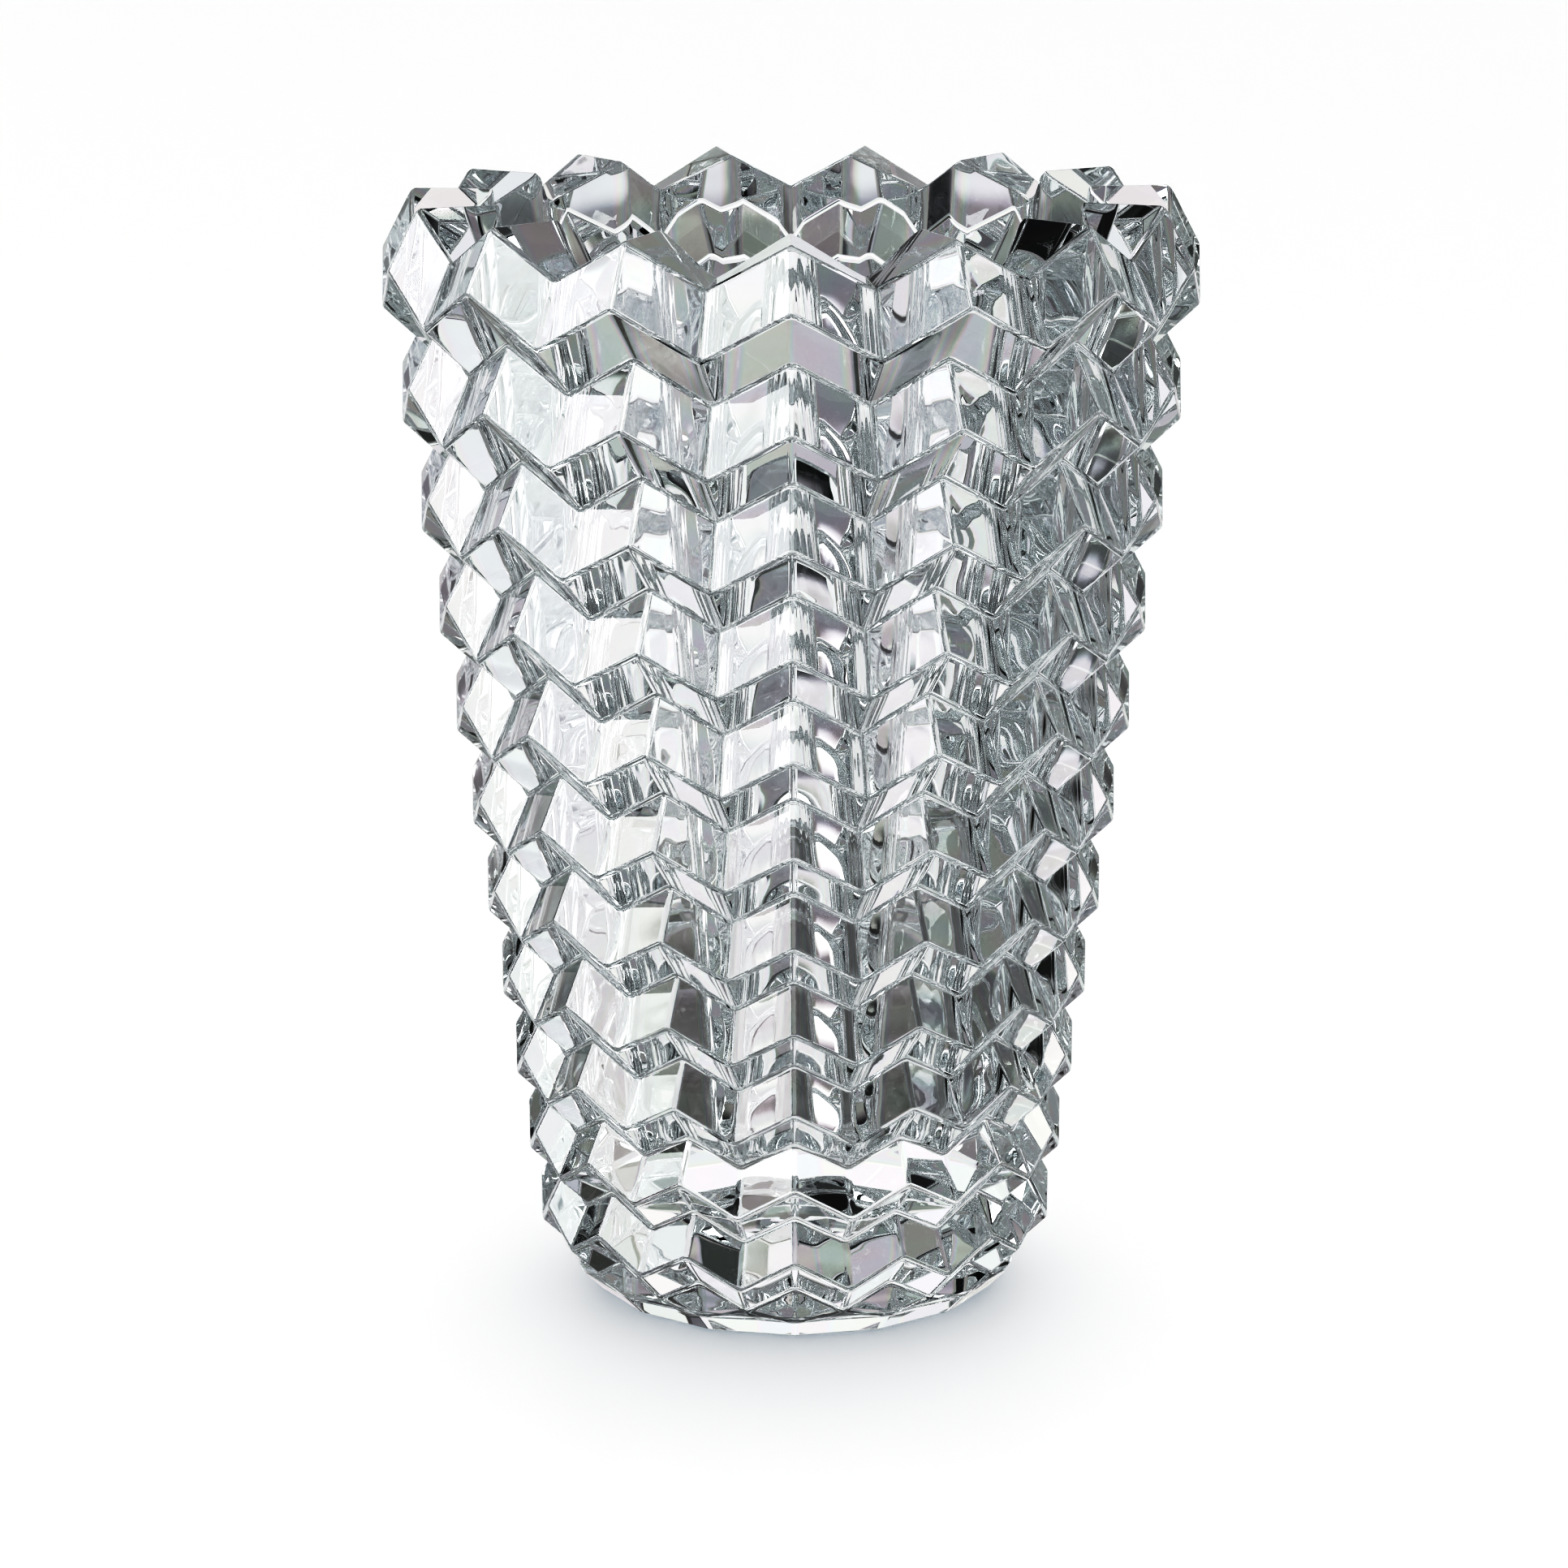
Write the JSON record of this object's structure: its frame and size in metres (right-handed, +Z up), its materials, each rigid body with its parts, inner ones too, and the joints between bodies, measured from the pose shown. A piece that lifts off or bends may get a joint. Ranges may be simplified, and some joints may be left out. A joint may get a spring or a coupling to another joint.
{
  "type": "cut crystal vase",
  "caption": "Tall tapering clear crystal vase with stacked rings of prism cuts, a zigzag rim, a deep fluted hollow and a flat faceted foot.",
  "frame": {"origin": "centre of the flat resting face under the foot", "axes": "+Z up along the vase's axis, towards the mouth; one ridge of the cutting points to -Y"},
  "size_m": [0.2042, 0.2041, 0.28],
  "materials": {
    "lead_crystal": "polished, clear and colourless"
  },
  "bodies": {
    "root": {"vase_body": "lead_crystal"}
  },
  "joints": []
}
